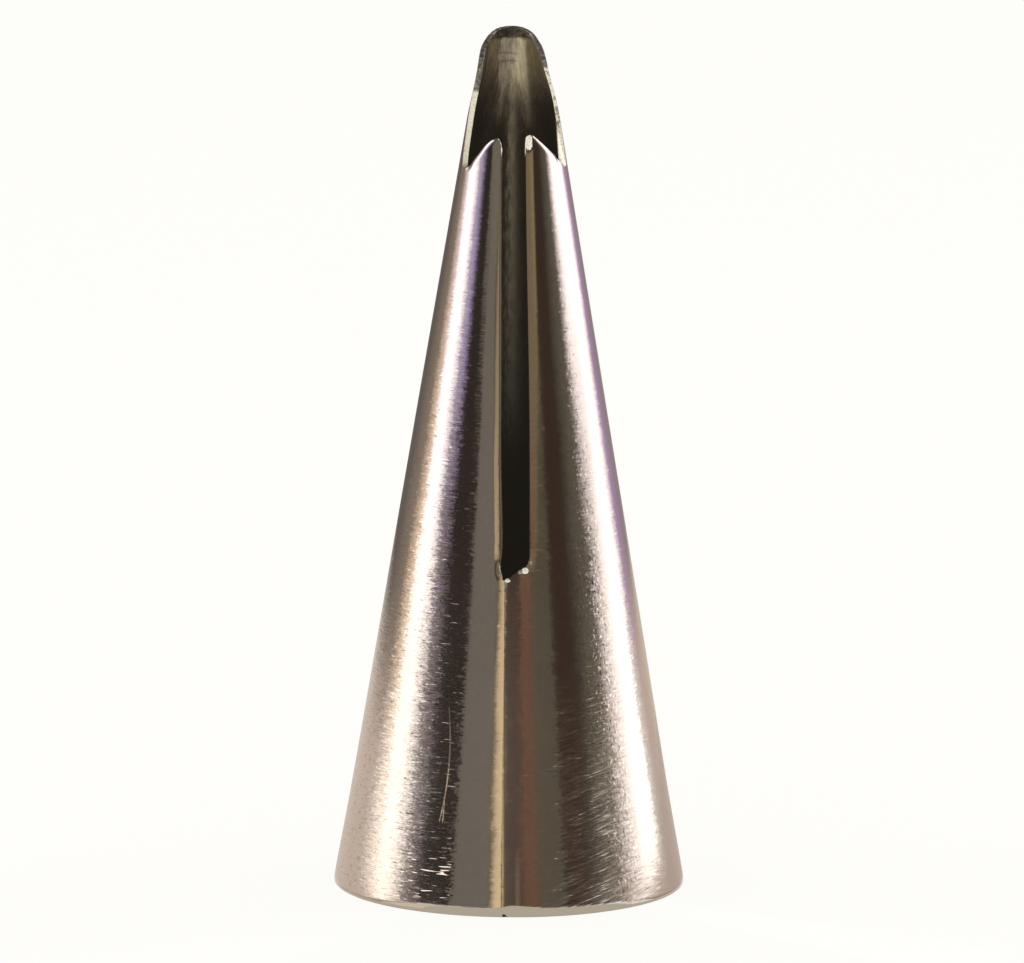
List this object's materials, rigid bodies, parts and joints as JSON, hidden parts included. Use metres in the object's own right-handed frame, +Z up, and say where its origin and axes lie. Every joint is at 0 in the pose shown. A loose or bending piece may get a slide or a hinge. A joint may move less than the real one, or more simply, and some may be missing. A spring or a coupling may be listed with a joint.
{
  "type": "piping nozzle",
  "caption": "Tall conical steel piping nozzle, rolled and seam-welded, with a slotted mouth between short front lips and a tall rounded back tongue.",
  "frame": {"origin": "centre of the wide rim, on the plane it stands on", "axes": "+Z up the cone's axis to the mouth; the slot and seam face -Y; the tall tongue is at +Y"},
  "size_m": [0.0178, 0.0178, 0.0443],
  "materials": {
    "sheet_steel": "polished round the cone, with fine turning marks",
    "weld_metal": "ground flush outside, as laid inside"
  },
  "bodies": {
    "root": {"rolled_cone": "sheet_steel", "seam_weld": "weld_metal"}
  },
  "joints": []
}
